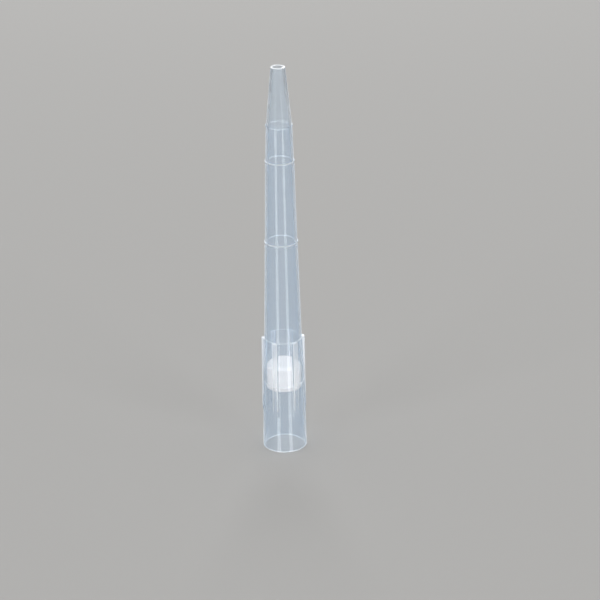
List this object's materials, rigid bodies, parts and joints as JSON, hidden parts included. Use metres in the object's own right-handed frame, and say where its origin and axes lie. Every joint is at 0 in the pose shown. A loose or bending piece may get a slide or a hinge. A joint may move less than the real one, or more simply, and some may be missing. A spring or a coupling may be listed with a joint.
{
  "type": "filter pipette tip",
  "caption": "Clear tapered pipette tip with a finned collar, fine volume rings, a narrow open point and a white porous filter plug pressed into its socket.",
  "frame": {"origin": "centre of the wide mouth, on the surface that the mouth's rim rests on", "axes": "+Z along the tip's axis from the wide mouth to the narrow orifice, +X through the middle of one fin"},
  "size_m": [0.0088, 0.0088, 0.08],
  "materials": {
    "clear_polypropylene": "clear moulded polypropylene with a faint blue haze",
    "porous_polyethylene": "white sintered, finely grained"
  },
  "bodies": {
    "root": {"tip_body": "clear_polypropylene", "filter_plug": "porous_polyethylene"}
  },
  "joints": []
}
